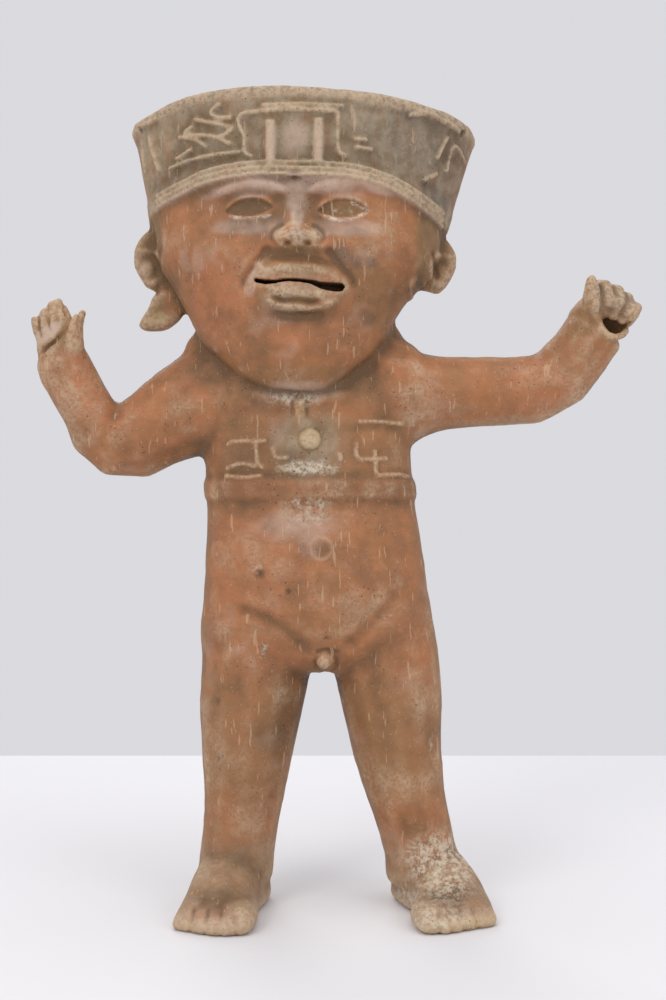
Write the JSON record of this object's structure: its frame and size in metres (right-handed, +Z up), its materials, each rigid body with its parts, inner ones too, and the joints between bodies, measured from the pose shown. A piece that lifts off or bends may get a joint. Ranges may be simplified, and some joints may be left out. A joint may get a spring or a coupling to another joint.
{
  "type": "sonriente figure",
  "caption": "Standing fired clay figure with a broad smiling face, a flaring headdress, ear ornaments, a breast band and raised hands, free standing on its two feet.",
  "frame": {"origin": "on the ground under the middle of the bounding box", "axes": "+Z up, the face looks along -Y, +X towards the closed hand"},
  "size_m": [0.3582, 0.1304, 0.4689],
  "materials": {
    "fired_clay": "burnished and worn orange clay with buff and grey slip, soot stains and white lime crust"
  },
  "bodies": {
    "root": {"sonriente_figure": "fired_clay"}
  },
  "joints": []
}
